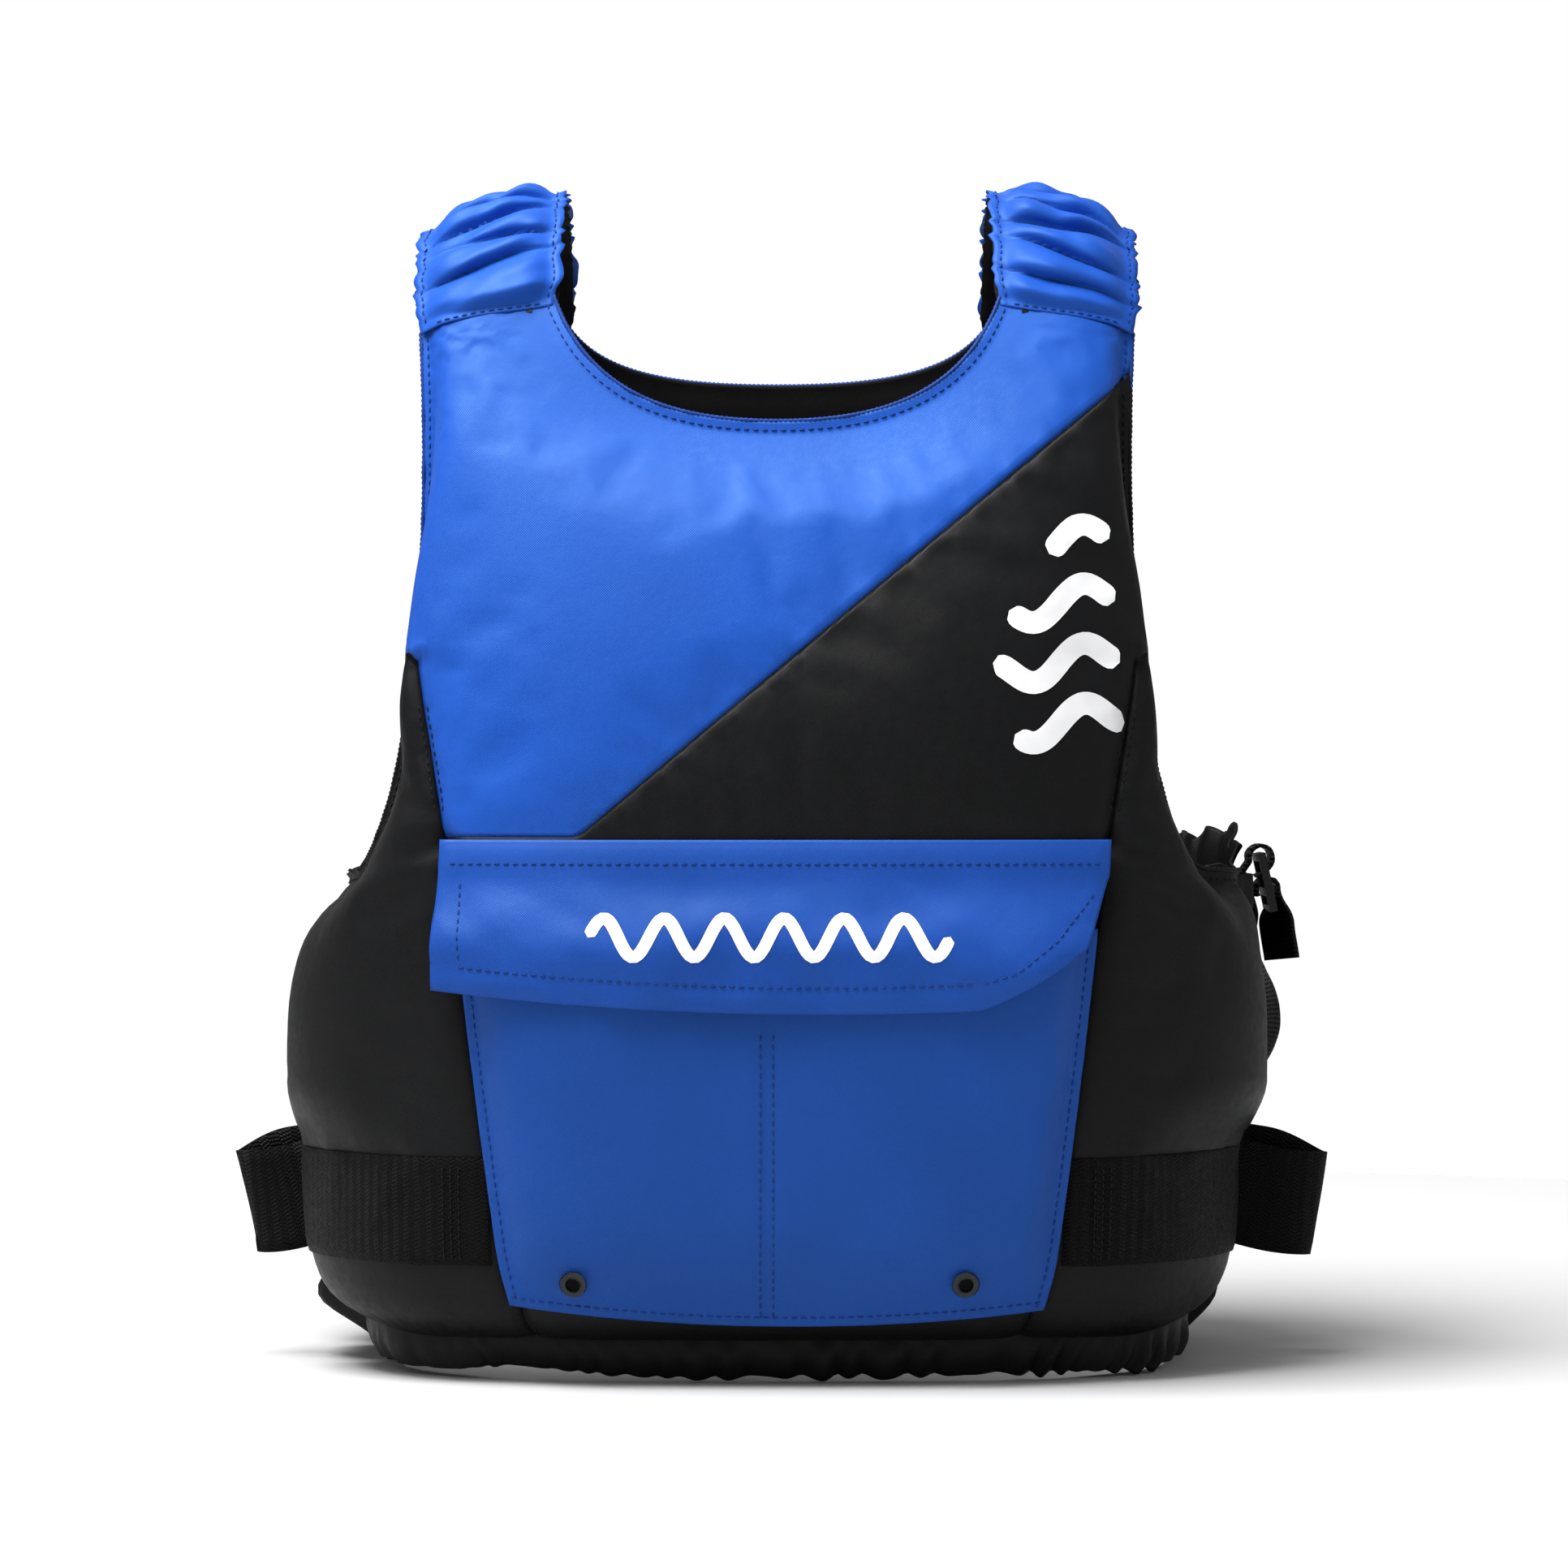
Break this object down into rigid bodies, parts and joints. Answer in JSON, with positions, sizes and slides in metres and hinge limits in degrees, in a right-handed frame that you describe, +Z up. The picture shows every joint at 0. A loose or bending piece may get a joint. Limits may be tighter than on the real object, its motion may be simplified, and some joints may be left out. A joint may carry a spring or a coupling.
{
  "type": "buoyancy aid vest",
  "caption": "Pullover foam buoyancy aid with gathered elastic shoulders, a chest pocket under a hook-and-loop flap, a webbing waist belt and an adjustable side strap.",
  "frame": {"origin": "middle of the base, under the hem, on the surface the vest stands on", "axes": "+Z up along the wearer's spine, -Y out of the chest, +X towards the wearer's left"},
  "size_m": [0.4693, 0.3225, 0.513],
  "materials": {
    "cover_blue": "slightly shiny woven nylon",
    "cover_black": "matte woven nylon",
    "lining": "matte woven lining",
    "foam": "matte closed-cell foam",
    "webbing": "matte twill webbing",
    "elastic": "matte braided elastic",
    "hook_and_loop": "matte hook-and-loop tape",
    "buckle_plastic": "satin moulded acetal",
    "eyelet_metal": "black oxidised brass"
  },
  "bodies": {
    "vest": {"front_cover_upper": "cover_blue", "back_cover_yoke": "cover_blue", "neck_binding_front": "cover_blue", "neck_binding_back": "cover_blue", "shoulder_sleeve_left": "cover_blue", "shoulder_sleeve_right": "cover_blue", "pocket_pouch": "cover_blue", "pocket_divider": "cover_blue", "flap_header": "cover_blue", "front_cover_lower": "cover_black", "front_cover_wing_left": "cover_black", "front_cover_wing_right": "cover_black", "back_cover_lower": "cover_black", "armhole_binding_front_left": "cover_black", "armhole_binding_front_right": "cover_black", "armhole_binding_back_left": "cover_black", "armhole_binding_back_right": "cover_black", "side_gusset_left": "cover_black", "side_gusset_right": "cover_black", "hem_casing_front": "cover_black", "hem_casing_back": "cover_black", "front_lining": "lining", "back_lining": "lining", "front_foam_middle": "foam", "front_foam_left": "foam", "front_foam_right": "foam", "back_foam_middle": "foam", "back_foam_left": "foam", "back_foam_right": "foam", "waist_belt_left": "webbing", "waist_belt_right": "webbing", "waist_belt_back": "webbing", "buckle_anchor": "webbing", "side_strap": "webbing", "shoulder_elastic_left": "elastic", "shoulder_elastic_right": "elastic", "hem_elastic_front": "elastic", "hem_elastic_back": "elastic", "pocket_loop_tape": "hook_and_loop", "drain_eyelet_left": "eyelet_metal", "drain_eyelet_right": "eyelet_metal", "eyelet_washer_left": "eyelet_metal", "eyelet_washer_right": "eyelet_metal"},
    "pocket_flap": {"pocket_flap": "cover_blue", "flap_hook_tape": "hook_and_loop"},
    "ladder_lock": {"ladder_lock": "buckle_plastic"},
    "strap_tail": {"strap_tail": "webbing"},
    "pull_loop_left": {"pull_loop_left": "webbing"},
    "pull_loop_right": {"pull_loop_right": "webbing"}
  },
  "joints": [
    {"name": "pocket_flap_hinge", "type": "hinge", "parent": "vest", "child": "pocket_flap", "pos_m": [0, -0.1488, 0.215], "axis": [-1, 0, 0], "range_deg": [0, 150]},
    {"name": "side_buckle_tilt", "type": "hinge", "parent": "vest", "child": "ladder_lock", "pos_m": [0.212, 0.004, 0.218], "axis": [0, -1, 0], "range_deg": [0, 40]},
    {"name": "strap_tail_swing", "type": "hinge", "parent": "ladder_lock", "child": "strap_tail", "pos_m": [0.21516, 0.004, 0.20313], "axis": [0, -1, 0], "range_deg": [0, 60]},
    {"name": "pull_loop_left_swing", "type": "hinge", "parent": "vest", "child": "pull_loop_left", "pos_m": [0.2034, -0.014, 0.0725], "axis": [0, 0, 1], "range_deg": [-30, 30]},
    {"name": "pull_loop_right_swing", "type": "hinge", "parent": "vest", "child": "pull_loop_right", "pos_m": [-0.2034, -0.014, 0.0725], "axis": [0, 0, -1], "range_deg": [-30, 30]}
  ]
}
